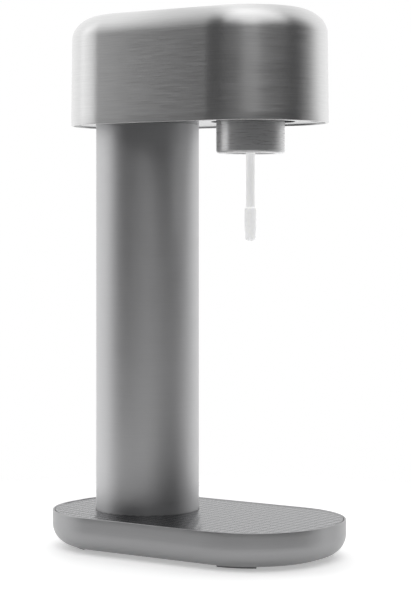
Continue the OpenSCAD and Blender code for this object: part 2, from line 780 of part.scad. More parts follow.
module carbonator_body() {
  color(grey_frame) translate([nozzle_x, 0, 0]) difference() {
    union() {
      translate([0, 0, body_bottom]) cylinder(r = collar_radius - collar_wall - 0.05, h = 4, $fn = fine);
      translate([0, 0, body_bottom]) cylinder(r = body_radius, h = body_top - body_bottom, $fn = fine);
      translate([0, -body_radius - 4.5, tilt_height]) rotate([-90, 0, 0])
        cylinder(r = 6, h = 2 * body_radius + 9, $fn = medium);
    }
    for (side = [-1, 1]) translate([0, side * 11.5, tilt_height]) rotate([-90 * side, 0, 0])
      cylinder(r = tilt_bore, h = 20, $fn = medium);
    translate([0, 0, body_bottom - 1]) cylinder(r = stem_radius + 0.02, h = 18, $fn = medium);
    cylinder(r = 1.3, h = tilt_height, $fn = medium);
    translate([0, 0, body_bottom - 1]) cylinder(r = 5.2, h = 3.2, $fn = medium);
    translate([0, 0, tilt_height]) rotate([90, 0, 0]) cylinder(r = 1.2, h = 14, $fn = medium);
    translate([relief_x, 0, 340]) cylinder(r = 1.5, h = 40, $fn = medium);
    translate([0, 0, 341]) rotate([0, 90, 0]) cylinder(r = 1.3, h = relief_x + 1, $fn = medium);
    translate([relief_x, 0, body_top - 6]) cylinder(r = 3.5 + screw_play, h = 10, $fn = medium);
    around(3, 0, 60) translate([body_radius + 4, 0, body_bottom + 2]) rotate([0, 90, 0])
      cylinder(r = 1 + screw_play, h = 8, $fn = medium);
  }
}

module collar_screws() {
  color(steel) translate([nozzle_x, 0, 0]) around(3, 0, 60) translate([body_radius + 4.4, 0, body_bottom + 2])
    rotate([0, 90, 0]) cylinder(r = 1, h = collar_radius - body_radius - 4.4, $fn = medium);
}

jaw_travel = 2;
jaw_inner = 15.2;
jaw_outer = 20.2;
jaw_bottom = collar_bottom + 3.4;
jaw_top = carrier_bottom - 0.3;
jaw_tab = 8;

module jaw_carrier() {
  color(white_plastic) translate([nozzle_x, 0, 0]) difference() {
    translate([0, 0, carrier_bottom])
      cylinder(r = collar_radius - collar_wall - 0.05, h = body_bottom - carrier_bottom, $fn = fine);
    translate([0, 0, carrier_bottom - 1]) cylinder(r = 13.6, h = 10, $fn = fine);
    for (i = [0:2]) rotate([0, 0, 120 * i])
      translate([jaw_inner - 0.4, -jaw_tab / 2 - 0.2, carrier_bottom - 1])
        cube([jaw_outer - jaw_inner + jaw_travel + 0.2, jaw_tab + 0.4, 4.6]);
  }
}

// One of three bottle jaws: a ring sector with a hook below and a guide tab above
module jaw(angle) {
  color(white_plastic) translate([nozzle_x, 0, 0]) rotate([0, 0, angle]) difference() {
    union() {
      translate([0, 0, jaw_bottom]) sector(jaw_outer, jaw_inner, jaw_top - jaw_bottom, 96);
      translate([jaw_inner + 0.4, -jaw_tab / 2, jaw_top - 1]) cube([jaw_outer - jaw_inner - 1, jaw_tab, 4.2]);
    }
    translate([0, 0, jaw_bottom + 4]) cylinder(r = jaw_inner + 1.6, h = jaw_top - jaw_bottom - 6, $fn = fine);
  }
}

module jaw_front() { jaw(0); }
module jaw_left() { jaw(120); }
module jaw_right() { jaw(240); }

module bottle_seal() {
  color(black_rubber) translate([nozzle_x, 0, seal_bottom]) difference() {
    cylinder(r = 13.4, h = body_bottom - seal_bottom, $fn = fine);
    translate([0, 0, -1]) cylinder(r = 5.4, h = 10, $fn = medium);
    translate([0, 0, -1]) ring(11.2, 8, 2, medium);
  }
}

tip_top = nozzle_end + 24.8;

module nozzle_stem() {
  color(white_plastic) translate([nozzle_x, 0, nozzle_end + 5]) difference() {
    cylinder(r = stem_radius, h = 344 - nozzle_end - 5, $fn = medium);
    translate([0, 0, -1]) cylinder(r = 1.3, h = 130, $fn = medium);
  }
}

module nozzle_tip() {
  foot_round = 2;
  profile = concat(
    [[0, nozzle_end], [tip_radius - 1.6, nozzle_end]],
    arc([tip_radius - foot_round - 0.5, nozzle_end + foot_round], foot_round, -60, 0, 4),
    [[tip_radius, nozzle_end + 7], [tip_radius, tip_top - 3], [tip_radius - 0.35, tip_top], [0, tip_top]]
  );
  color(white_plastic) translate([nozzle_x, 0, 0]) difference() {
    rotate_extrude($fn = fine) polygon(profile);
    translate([0, 0, nozzle_end + 5]) cylinder(r = stem_radius + 0.01, h = 40, $fn = medium);
    translate([0, 0, nozzle_end - 1]) cylinder(r = 0.5, h = 10, $fn = medium);
  }
}

module stem_seal() {
  color(black_rubber) translate([nozzle_x, 0, body_bottom]) ring(5.1, stem_radius + 0.03, 2.1, medium);
}

pivot_fitting_y = -(bracket_y + bracket_width);

// Elbow that feeds gas into the hollow right-hand tilt pin
module pivot_fitting() {
  centre = pivot_fitting_y - 5.5;
  color(brass) difference() {
    union() {
      translate([nozzle_x, pivot_fitting_y, tilt_height]) rotate([90, 0, 0])
        cylinder(r = 4.5, h = 11, $fn = medium);
      translate([nozzle_x - 3.5, centre, tilt_height]) mirror([1, 0, 0]) barb(1, 9);
    }
    translate([nozzle_x, pivot_fitting_y + 1, tilt_height]) rotate([90, 0, 0])
      cylinder(r = 1.2, h = 8, $fn = medium);
    translate([nozzle_x + 1, centre, tilt_height]) rotate([0, -90, 0]) cylinder(r = 1.2, h = 8, $fn = medium);
  }
}

relief_x = 8;
relief_seat = body_top - 6;
relief_top = 374;
poppet_bottom = relief_seat + 1.6;

module relief_valve() {
  color(brass) translate([nozzle_x + relief_x, 0, relief_seat]) difference() {
    union() {
      cylinder(r = 3.5, h = relief_top - relief_seat, $fn = medium);
      translate([0, 0, body_top - relief_seat]) cylinder(r = 5, h = 3, $fn = 6);
    }
    translate([0, 0, -1]) cylinder(r = 1.3, h = 30, $fn = medium);
    translate([0, 0, 1.6]) cylinder(r = 2.5, h = relief_top - relief_seat - 3, $fn = medium);
  }
}

module relief_poppet() {
  color(steel) translate([nozzle_x + relief_x, 0, poppet_bottom + 0.05]) {
    cylinder(r = 2.4, h = 2, $fn = medium);
    translate([0, 0, 1.9]) cylinder(r = 0.9, h = 2, $fn = medium);
  }
}

module relief_spring() {
  wire = 0.3;
  bottom = poppet_bottom + 2.05 + wire;
  color(steel) translate([nozzle_x + relief_x, 0, bottom + 0.05])
    bar(coil(1.7, relief_top - 1.4 - bottom - wire - 0.1, 5, 12), wire, 6);
}

hose_radius = 3.2;
hose_start = [column_x + 19.6, 0, inlet_z];
hose_end = [nozzle_x - 7.6, pivot_fitting_y - 5.5, tilt_height];

// Hose centre line: it leaves the valve block forwards and meets the elbow straight
function hose_point(s) = let (
  ease = s < 0.1 ? 0 : s > 0.84 ? 1 : pow((s - 0.1) / 0.74, 2) * (3 - 2 * (s - 0.1) / 0.74)
) [for (k = [0:2]) hose_start[k] + (hose_end[k] - hose_start[k]) * (k == 0 ? s : ease)];

module pressure_hose() {
  reach = 10.2;
  color(black_hose) difference() {
    bar([for (i = [0:24]) hose_point(i / 24)], hose_radius, 12);
    translate(hose_start - [1, 0, 0]) rotate([0, 90, 0]) cylinder(r = 2.95, h = reach + 1, $fn = medium);
    translate(hose_end + [1, 0, 0]) rotate([0, -90, 0]) cylinder(r = 2.95, h = reach + 1, $fn = medium);
  }
}

base_shell();
foot_pads();
base_core();
drip_deck();
base_screws();
rating_plate();
column_tube();
column_liner();
column_screws();
column_gasket();
hatch_cover();
hatch_pad();
gas_cylinder();
cylinder_valve();
burst_plug();
valve_pin();
valve_pin_spring();
head_shell();
shell_rim();
head_underplate();
head_chassis();
head_screws();
valve_bridge();
bridge_screws();
valve_block();
block_screws();
socket_washer();
push_rod();
push_rod_gland();
inlet_fitting();
pressure_hose();
lever_bracket();
lever_pin();
lever();
button_cap();
button_stem();
button_guide();
button_spring();
tilt_brackets();
tilt_pins();
tilt_spring();
nozzle_collar();
carbonator_body();
jaw_carrier();
jaw_front();
jaw_left();
jaw_right();
bottle_seal();
nozzle_stem();
nozzle_tip();
stem_seal();
collar_screws();
pivot_fitting();
relief_valve();
relief_poppet();
relief_spring();
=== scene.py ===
"""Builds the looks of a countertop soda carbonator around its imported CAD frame.

Everything stands in the frame of the part: +X to the front, +Z up, and the origin on the table under the
middle of the foot. The sub-assemblies and the springs hold their sizes in millimetres. Finished pieces, the
lights and the camera are placed in metres.
"""

import json
import logging
import math
from dataclasses import dataclass, field
from enum import Enum

import bmesh
import bpy
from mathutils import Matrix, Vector

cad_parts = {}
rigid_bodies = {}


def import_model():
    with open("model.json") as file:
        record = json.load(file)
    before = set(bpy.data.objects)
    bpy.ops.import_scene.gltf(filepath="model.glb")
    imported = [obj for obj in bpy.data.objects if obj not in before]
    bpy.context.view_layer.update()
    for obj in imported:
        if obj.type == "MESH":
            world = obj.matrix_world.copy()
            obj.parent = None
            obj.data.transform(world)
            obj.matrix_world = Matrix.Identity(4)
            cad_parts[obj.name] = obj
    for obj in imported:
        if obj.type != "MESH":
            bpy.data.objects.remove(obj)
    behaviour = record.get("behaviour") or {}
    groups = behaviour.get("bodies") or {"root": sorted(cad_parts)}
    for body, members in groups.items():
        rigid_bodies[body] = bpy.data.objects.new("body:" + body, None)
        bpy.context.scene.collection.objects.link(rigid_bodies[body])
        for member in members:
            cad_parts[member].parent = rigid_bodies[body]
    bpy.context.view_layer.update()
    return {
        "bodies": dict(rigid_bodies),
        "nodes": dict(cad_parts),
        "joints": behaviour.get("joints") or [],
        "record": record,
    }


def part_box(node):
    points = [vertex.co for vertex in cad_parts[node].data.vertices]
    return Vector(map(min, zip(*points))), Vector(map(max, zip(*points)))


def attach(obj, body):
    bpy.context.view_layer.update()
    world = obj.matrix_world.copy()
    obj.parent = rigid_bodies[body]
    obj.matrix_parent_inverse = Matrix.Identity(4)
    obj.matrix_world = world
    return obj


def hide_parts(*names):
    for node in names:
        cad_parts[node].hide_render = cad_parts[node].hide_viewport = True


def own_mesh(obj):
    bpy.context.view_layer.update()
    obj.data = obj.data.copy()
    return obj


log = logging.getLogger("carbonator")

MM = 0.001

# The span of a noise texture's values that holds nearly all of them.
NOISE_SPAN = (0.3, 0.7)

# X and Y of the upright axes that the sub-assemblies share, in millimetres.
NOZZLE_AXIS = (49.1, 0.0)
COLUMN_AXIS = (-47.0, 0.0)

# Points on the outline of foot and head, and the radius that a lathed profile keeps off its axis.
OUTLINE_POINTS = 288
CORE = 0.05

Ring = list[Vector]
Profile = list[tuple[float, float]]


# ---------- Colour, nodes and meshes ----------


def linear(hex_colour: str) -> tuple[float, float, float, float]:
    """Turns an sRGB hex colour into linear light.

    Args:
        hex_colour: Six hex digits after a hash sign.

    Returns:
        Red, green, blue and an alpha of one.
    """
    channels = [int(hex_colour[i : i + 2], 16) / 255 for i in (1, 3, 5)]
    light = [c / 12.92 if c <= 0.04045 else ((c + 0.055) / 1.055) ** 2.4 for c in channels]
    return (light[0], light[1], light[2], 1.0)


def add_node(
    tree: bpy.types.NodeTree, kind: str, inputs: dict[str | int, object] | None = None, **settings: object
) -> bpy.types.Node:
    """Adds one node to a tree.

    Args:
        tree: The node tree that takes the node.
        kind: Blender's name for the node type.
        inputs: Socket names or numbers, each with a value or with the output socket that feeds it.
        **settings: The node's own properties.

    Returns:
        The new node.
    """
    node = tree.nodes.new(kind)
    for name, value in settings.items():
        setattr(node, name, value)
    for key, value in (inputs or {}).items():
        if isinstance(value, bpy.types.NodeSocket):
            tree.links.new(value, node.inputs[key])
        else:
            node.inputs[key].default_value = value
    return node


def link_object(name: str, mesh: bpy.types.Mesh, smooth_angle: float = 35.0) -> bpy.types.Object:
    """Puts a mesh into the scene as a smoothly shaded object.

    Args:
        name: The piece's name.
        mesh: Its finished mesh.
        smooth_angle: Edges that turn by more than this many degrees stay sharp.

    Returns:
        The object, standing at the origin.
    """
    mesh.shade_smooth()
    mesh.set_sharp_from_angle(angle=math.radians(smooth_angle))
    piece = bpy.data.objects.new(name, mesh)
    bpy.context.scene.collection.objects.link(piece)
    return piece


def loft(name: str, rings: list[Ring], capped: bool = False) -> bpy.types.Object:
    """Joins rings of points into one closed skin.

    Args:
        name: The piece's name.
        rings: Rings with the same number of points, in order along the section.
        capped: Whether the first and last ring are filled, as on a wire, or joined to each other.

    Returns:
        The closed piece.
    """
    bm = bmesh.new()
    rows = [[bm.verts.new(point) for point in ring] for ring in rings]
    count = len(rows[0])
    for row, following in zip(rows, rows[1:] if capped else rows[1:] + rows[:1]):
        for i in range(count):
            k = (i + 1) % count
            bm.faces.new((row[i], row[k], following[k], following[i]))
    if capped:
        bm.faces.new(rows[0])
        bm.faces.new(rows[-1])
    bmesh.ops.recalc_face_normals(bm, faces=bm.faces)
    mesh = bpy.data.meshes.new(name)
    bm.to_mesh(mesh)
    bm.free()
    return link_object(name, mesh)


def lathe(name: str, profile: Profile, centre: tuple[float, float], segments: int = 144) -> bpy.types.Object:
    """Turns a closed profile about an upright axis.

    Args:
        name: The piece's name.
        profile: Radius and height pairs in millimetres, all with a radius above zero.
        centre: X and Y of the axis, in millimetres.
        segments: Number of steps round the axis.

    Returns:
        The turned piece.
    """
    angles = [2 * math.pi * i / segments for i in range(segments)]
    rings = [
        [Vector((centre[0] + r * math.cos(a), centre[1] + r * math.sin(a), z)) * MM for a in angles]
        for r, z in profile
    ]
    return loft(name, rings)


def corner(centre: tuple[float, float], radius: float, start: float, end: float, steps: int = 6) -> Profile:
    """Gives points on a rounded corner of a profile.

    Args:
        centre: Middle of the arc, as radius and height.
        radius: Radius of the arc.
        start: First angle in degrees, from the outward direction.
        end: Last angle in degrees.
        steps: Number of steps along the arc.

    Returns:
        The arc's points.
    """
    turns = [math.radians(start + (end - start) * i / steps) for i in range(steps + 1)]
    return [(centre[0] + radius * math.cos(t), centre[1] + radius * math.sin(t)) for t in turns]


class Outline:
    """A smooth closed outline round a few circles, with an outward direction at each point."""

    def __init__(self, circles: list[tuple[float, float, float]], count: int) -> None:
        """Spaces points evenly along the outline.

        Args:
            circles: X, Y and radius of each circle in millimetres, counter-clockwise, the front one first.
            count: Number of points on the outline.
        """
        dense: list[tuple[Vector, Vector]] = []
        total = len(circles)
        for i, (x, y, r) in enumerate(circles):
            arrive = self._normal_angle(circles[i - 1], circles[i])
            leave = self._normal_angle(circles[i], circles[(i + 1) % total])
            while leave < arrive:
                leave += 2 * math.pi
            steps = max(2, int(math.degrees(leave - arrive) * 4))
            for k in range(steps + 1):
                a = arrive + (leave - arrive) * k / steps
                normal = Vector((math.cos(a), math.sin(a)))
                dense.append((Vector((x, y)) + r * normal, normal))
        self.points = self._even(dense, count)

    @staticmethod
    def _normal_angle(a: tuple[float, float, float], b: tuple[float, float, float]) -> float:
        """Gives the direction that the straight side from circle a to circle b faces, in radians."""
        dx, dy = b[0] - a[0], b[1] - a[1]
        return math.atan2(dy, dx) - math.acos((a[2] - b[2]) / math.hypot(dx, dy))

    @staticmethod
    def _even(dense: list[tuple[Vector, Vector]], count: int) -> list[tuple[Vector, Vector]]:
        """Spaces points evenly along a closed line.

        Args:
            dense: Closely spaced points with their normals.
            count: Number of points wanted.

        Returns:
            Evenly spaced points with their normals, the first one furthest forward.
        """
        start = max(range(len(dense)), key=lambda i: (round(dense[i][0].x, 4), -abs(dense[i][0].y)))
        dense = dense[start:] + dense[:start] + [dense[start]]
        lengths = [0.0]
        for (p, _), (q, _) in zip(dense, dense[1:]):
            lengths.append(lengths[-1] + (q - p).length)
        even = []
        j = 0
        for i in range(count):
            target = lengths[-1] * i / count
            while lengths[j + 1] < target:
                j += 1
            span = lengths[j + 1] - lengths[j]
            t = (target - lengths[j]) / span if span > 0 else 0.0
            point = dense[j][0].lerp(dense[j + 1][0], t)
            even.append((point, dense[j][1].lerp(dense[j + 1][1], t).normalized()))
        return even

    def ring(self, inset: float, z: float) -> Ring:
        """Gives the outline moved in by inset at height z, both in millimetres, as points in metres."""
        return [Vector(((p - n * inset).x, (p - n * inset).y, z)) * MM for p, n in self.points]

    def circle(self, centre: tuple[float, float], radius: float, z: float) -> Ring:
        """Gives a circle whose points lie on straight lines from its centre to the outline's points.

        Args:
            centre: X and Y of the circle in millimetres.
            radius: Its radius in millimetres.
            z: Its height in millimetres.

        Returns:
            One point for each point of the outline, in metres.
        """
        middle = Vector(centre)
        ring = []
        for p, _ in self.points:
            spot = middle + (p - middle).normalized() * radius
            ring.append(Vector((spot.x, spot.y, z)) * MM)
        return ring


def between(first: Ring, last: Ring, steps: int) -> list[Ring]:
    """Gives the rings that lie strictly between two rings, in even steps."""
    return [[a.lerp(b, k / steps) for a, b in zip(first, last)] for k in range(1, steps)]


# ---------- Finishes ----------


class Grain(Enum):
    """Which way the fine lines of a finish run. The values stretch the pattern along X, Y and Z."""

    AROUND = (1.0, 1.0, 30.0)
    CROSSWISE = (30.0, 1.0, 1.0)
    EVEN = (1.0, 1.0, 1.0)

    def scale(self, spacing_mm: float) -> tuple[float, ...]:
        """Gives the mapping's scale, for object coordinates in metres, that draws lines spacing_mm apart."""
        return tuple(s / (max(self.value) * spacing_mm * MM) for s in self.value)


@dataclass(frozen=True)
class Finish:
    """What all finishes share: a shader whose tint, roughness and relief are broken up by noise."""

    name: str
    tint: str
    roughness: float

    def build(self) -> bpy.types.Material:
        """Makes the material once, and gives the same one after that.

        Returns:
            The material.
        """
        known = bpy.data.materials.get(self.name)
        if known is not None:
            return known
        material = bpy.data.materials.new(self.name)
        material.use_nodes = True
        tree = material.node_tree
        tree.nodes.clear()
        shader = add_node(tree, "ShaderNodeBsdfPrincipled", {"Roughness": self.roughness})
        add_node(tree, "ShaderNodeOutputMaterial", {"Surface": shader.outputs["BSDF"]})
        place = add_node(tree, "ShaderNodeTexCoord").outputs["Object"]
        self.pattern(tree, shader, place)
        return material

    def pattern(self, tree: bpy.types.NodeTree, shader: bpy.types.Node, place: bpy.types.NodeSocket) -> None:
        """Draws the finish into its shader. Each kind of finish has its own way.

        Args:
            tree: The material's tree.
            shader: The tree's shader.
            place: Where on the object, in metres.
        """
        raise NotImplementedError

    def dress(
        self,
        tree: bpy.types.NodeTree,
        shader: bpy.types.Node,
        marks: bpy.types.NodeSocket,
        cloud: bpy.types.NodeSocket,
        shade: float,
        swing: float,
        relief_mm: float,
        strength: float = 0.5,
    ) -> None:
        """Runs noise into the shader's colour, roughness and relief.

        Args:
            tree: The material's tree.
            shader: The tree's shader.
            marks: Noise for the fine marks, which set the roughness and the relief.
            cloud: Noise for the shades of the tint.
            shade: How far the darkest shade lies below the tint, from 0 to 1.
            swing: How far the roughness swings to each side.
            relief_mm: Height of the marks.
            strength: How much of that height is drawn, from 0 to 1.
        """
        light = linear(self.tint)
        tones = add_node(tree, "ShaderNodeValToRGB", {"Fac": cloud})
        low, high = tones.color_ramp.elements
        low.position, high.position = NOISE_SPAN
        low.color = (light[0] * (1 - shade), light[1] * (1 - shade), light[2] * (1 - shade), 1.0)
        high.color = light
        span = {"Value": marks, "From Min": NOISE_SPAN[0], "From Max": NOISE_SPAN[1]}
        span |= {"To Min": self.roughness - swing, "To Max": self.roughness + swing}
        rough = add_node(tree, "ShaderNodeMapRange", span)
        height = {"Height": marks, "Strength": strength, "Distance": relief_mm * MM}
        bump = add_node(tree, "ShaderNodeBump", height)
        tree.links.new(tones.outputs["Color"], shader.inputs["Base Color"])
        tree.links.new(rough.outputs["Result"], shader.inputs["Roughness"])
        tree.links.new(bump.outputs["Normal"], shader.inputs["Normal"])


@dataclass(frozen=True)
class BrushedAluminium(Finish):
    """Aluminium brushed with a fine belt and clear anodised.

    The belt leaves long hairlines, which draw each reflection out across themselves, and the anodised skin
    keeps the whole surface satin. Real hairlines are near 0.1 mm apart, too fine to show here, so they are
    drawn coarser, grain_mm apart.
    """

    grain: Grain = Grain.AROUND
    grain_mm: float = 0.9
    relief_mm: float = 0.006
    stretch: float = 0.0
    shade: float = 0.07
    metal: float = 1.0

    def pattern(self, tree: bpy.types.NodeTree, shader: bpy.types.Node, place: bpy.types.NodeSocket) -> None:
        """Draws hairlines into tint, roughness and relief.

        Args:
            tree: The material's tree.
            shader: The tree's shader.
            place: Where on the object, in metres.
        """
        layout = {"Vector": place, "Scale": self.grain.scale(self.grain_mm)}
        along = add_node(tree, "ShaderNodeMapping", layout).outputs["Vector"]
        belt = {"Vector": along, "Scale": 1.0, "Detail": 5.0, "Roughness": 0.65}
        hairlines = add_node(tree, "ShaderNodeTexNoise", belt).outputs["Fac"]
        self.dress(tree, shader, hairlines, hairlines, self.shade, 0.05, self.relief_mm, 0.6)
        shader.inputs["Metallic"].default_value = self.metal
        if self.stretch > 0:
            # Hairlines that run round the part spread its highlights upright, across themselves.
            shader.inputs["Anisotropic"].default_value = self.stretch
            shader.inputs["Anisotropic Rotation"].default_value = 0.25
            hairs = add_node(tree, "ShaderNodeTangent", direction_type="RADIAL", axis="Z")
            tree.links.new(hairs.outputs["Tangent"], shader.inputs["Tangent"])


@dataclass(frozen=True)
class MouldedPlastic(Finish):
    """Plastic moulded in a spark-eroded tool, or a sprayed lacquer: an even grain and soft highlights.

    The grain of such a tool is near 0.1 mm, too fine to show here, so it is drawn coarser, grain_mm across.
    """

    grain_mm: float = 0.35
    relief_mm: float = 0.02
    patch_mm: float = 12.0
    milkiness: float = 0.0
    # Strength of a painted glow in the tint, which brightens the part though it is no lamp.
    painted_glow: float = 0.0

    def pattern(self, tree: bpy.types.NodeTree, shader: bpy.types.Node, place: bpy.types.NodeSocket) -> None:
        """Draws the tool's grain, a milky depth where the plastic has one, and a painted glow where one is
        set.

        Args:
            tree: The material's tree.
            shader: The tree's shader.
            place: Where on the object, in metres.
        """
        grit, cloud = (
            add_node(tree, "ShaderNodeTexNoise", {"Vector": place, "Scale": s, "Detail": 3.0}).outputs["Fac"]
            for s in (1 / (self.grain_mm * MM), 1 / (self.patch_mm * MM))
        )
        self.dress(tree, shader, grit, cloud, 0.06, 0.06, self.relief_mm)
        if self.milkiness > 0:
            shader.inputs["Subsurface Weight"].default_value = self.milkiness
            shader.inputs["Subsurface Radius"].default_value = (1.0, 1.0, 0.95)
            shader.inputs["Subsurface Scale"].default_value = 1.0 * MM
        if self.painted_glow > 0:
            # Painted light: the part glows in its own tint, which brightens it though it is no lamp.
            shader.inputs["Emission Color"].default_value = linear(self.tint)
            shader.inputs["Emission Strength"].default_value = self.painted_glow


@dataclass(frozen=True)
class Elastomer(Finish):
    """Moulded nitrile or silicone rubber: dull and slightly dusty, with an uneven skin.

    Its skin is uneven over about 0.1 mm, too fine to show here, so it is drawn coarser, skin_mm across.
    """

    skin_mm: float = 0.5
    patch_mm: float = 4.0

    def pattern(self, tree: bpy.types.NodeTree, shader: bpy.types.Node, place: bpy.types.NodeSocket) -> None:
        """Draws dust into the colour and the uneven skin into roughness and relief.

        Args:
            tree: The material's tree.
            shader: The tree's shader.
            place: Where on the object, in metres.
        """
        uneven = {"Vector": place, "Scale": 1 / (self.skin_mm * MM), "Detail": 4.0}
        dusty = {"Vector": place, "Scale": 1 / (self.patch_mm * MM), "Detail": 3.0}
        skin = add_node(tree, "ShaderNodeTexNoise", uneven).outputs["Fac"]
        dust = add_node(tree, "ShaderNodeTexNoise", dusty).outputs["Fac"]
        self.dress(tree, shader, skin, dust, 0.25, 0.08, 0.03)


@dataclass(frozen=True)
class TurnedMetal(Finish):
    """Bar stock turned on a lathe, or drawn wire: fine rings of tool marks on a bright metal.

    Real tool marks are near 0.1 mm apart, so they too are drawn coarser, feed_mm apart.
    """

    feed_mm: float = 0.3
    patch_mm: float = 6.0

    def pattern(self, tree: bpy.types.NodeTree, shader: bpy.types.Node, place: bpy.types.NodeSocket) -> None:
        """Draws tool marks into roughness and relief, and a light tarnish into the colour.

        Args:
            tree: The material's tree.
            shader: The tree's shader.
            place: Where on the object, in metres.
        """
        layout = {"Vector": place, "Scale": Grain.AROUND.scale(self.feed_mm)}
        along = add_node(tree, "ShaderNodeMapping", layout).outputs["Vector"]
        rings = {"Vector": along, "Scale": 1.0, "Detail": 3.0}
        tarnish = {"Vector": place, "Scale": 1 / (self.patch_mm * MM), "Detail": 3.0}
        marks = add_node(tree, "ShaderNodeTexNoise", rings).outputs["Fac"]
        cloud = add_node(tree, "ShaderNodeTexNoise", tarnish).outputs["Fac"]
        self.dress(tree, shader, marks, cloud, 0.15, 0.07, 0.008)
        shader.inputs["Metallic"].default_value = 1.0


# Deep-drawn aluminium, belt brushed all round and anodised: bright upright highlights with soft ends.
HEAD_ALUMINIUM = BrushedAluminium("brushed_head_aluminium", "#dadada", 0.38, stretch=0.8, shade=0.14)
# Pressed aluminium, etched matt before it is anodised: a darker, duller grey than the head.
FOOT_ALUMINIUM = BrushedAluminium("satin_foot_aluminium", "#a0a0a1", 0.42, grain_mm=0.7, stretch=0.4)
# Extruded aluminium tube with a coarser brushing: broad, soft bands of light down its length.
COLUMN_ALUMINIUM = BrushedAluminium("brushed_column_aluminium", "#cfcfd0", 0.56, grain_mm=1.1, stretch=0.45)
# Rolled aluminium sheet, bright dipped: it mirrors the bright room behind and stays dark elsewhere.
PLATE_ALUMINIUM = BrushedAluminium("bright_plate_aluminium", "#8c8d8f", 0.2, Grain.CROSSWISE)
# Turned aluminium under a pale silver lacquer: light scatters in the lacquer, so it is less of a mirror.
COLLAR_ALUMINIUM = BrushedAluminium(
    "satin_collar_lacquer", "#fafafa", 0.29, grain_mm=0.7, relief_mm=0.001, shade=0.03, metal=0.3
)
# Aluminium spun on a lathe, then anodised: a fine, even satin.
BUTTON_ALUMINIUM = BrushedAluminium("spun_button_aluminium", "#c6c6c7", 0.34, grain_mm=0.5)
# Dark anodised aluminium with a blasted grain: dark from above, and bright where light glances along it.
DECK_ALUMINIUM = BrushedAluminium(
    "dark_anodised_deck", "#5c5d60", 0.26, Grain.EVEN, grain_mm=0.7, relief_mm=0.02, shade=0.3
)
# Rolled self-adhesive aluminium foil: soft streaks along the roll.
FOIL = BrushedAluminium("blank_foil", "#cfcfd0", 0.4, Grain.CROSSWISE)
# Grey ABS from a spark-eroded tool: a matt face that hides the flow lines.
GREY_ABS = MouldedPlastic("grey_moulded_abs", "#4b4d50", 0.5)
# Moulded thermoplastic rubber, grey: soft and dull.
PAD_RUBBER = Elastomer("grey_pad_rubber", "#858586", 0.6)
# Moulded nitrile rubber: near black, with a dusty bloom.
BLACK_RUBBER = Elastomer("black_nitrile_rubber", "#1d1d1e", 0.7)
# Natural polypropylene: milky, since light goes about a millimetre into it.
MILKY_POLYPROPYLENE = MouldedPlastic("milky_polypropylene", "#fafafa", 0.4, relief_mm=0.008, milkiness=1.0)
# The same polypropylene, with a painted glow that brightens the thin nozzle.
NOZZLE_POLYPROPYLENE = MouldedPlastic(
    "milky_nozzle_polypropylene_painted_glow", "#fafafa", 0.4, relief_mm=0.008, milkiness=1.0, painted_glow=0.46
)
# Stoved polyester lacquer on a steel cylinder: smooth, with the slight ripple of a sprayed coat.
CYLINDER_LACQUER = MouldedPlastic("grey_cylinder_lacquer", "#7c8084", 0.3, grain_mm=0.8)
# Free-cutting brass, turned: warm yellow with rings of tool marks.
BRASS = TurnedMetal("turned_brass", "#c9a35a", 0.3)
# Zinc-plated steel: a cool, slightly clouded silver.
ZINC = TurnedMetal("zinc_plated_steel", "#b4b7bb", 0.35)
# Hard-drawn spring steel wire: darker than zinc, with fine drawing marks.
SPRING_WIRE = TurnedMetal("drawn_spring_wire", "#8e9094", 0.3, feed_mm=0.15)
# Extruded rubber hose cover: dull black with faint dust.
HOSE_RUBBER = Elastomer("hose_cover_rubber", "#202122", 0.6)

SLOT_FINISHES: dict[str, Finish] = {
    "base_silver": FOOT_ALUMINIUM,
    "column_silver": COLUMN_ALUMINIUM,
    "head_silver": HEAD_ALUMINIUM,
    "underplate_silver": PLATE_ALUMINIUM,
    "collar_silver": COLLAR_ALUMINIUM,
    "button_silver": BUTTON_ALUMINIUM,
    "deck_grey": DECK_ALUMINIUM,
    "black_rubber": BLACK_RUBBER,
    "grey_moulding": GREY_ABS,
    "white_moulding": MILKY_POLYPROPYLENE,
    "label_silver": FOIL,
    "cylinder_grey": CYLINDER_LACQUER,
    "valve_brass": BRASS,
    "zinc_steel": ZINC,
    "spring_steel": SPRING_WIRE,
    "hose_black": HOSE_RUBBER,
}

# Nodes whose finish differs from the rest of their slot: the pads' rubber, and the nozzle's painted glow.
NODE_FINISHES: dict[str, Finish] = {
    "foot_pads": PAD_RUBBER,
    "nozzle_stem": NOZZLE_POLYPROPYLENE,
    "nozzle_tip": NOZZLE_POLYPROPYLENE,
}


def fit_piece(piece: bpy.types.Object, body: str, slot: str, node: str) -> None:
    """Dresses a new piece and ties it to the frame.

    Args:
        piece: The piece.
        body: The CAD body that it moves with.
        slot: The record's material slot that names its finish.
        node: The CAD node that it stands for.
    """
    piece.data.materials.clear()
    piece.data.materials.append(NODE_FINISHES.get(node, SLOT_FINISHES[slot]).build())
    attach(piece, body)
    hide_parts(node)
    log.info("%s rides on %s", piece.name, body)


# ---------- Sub-assemblies ----------


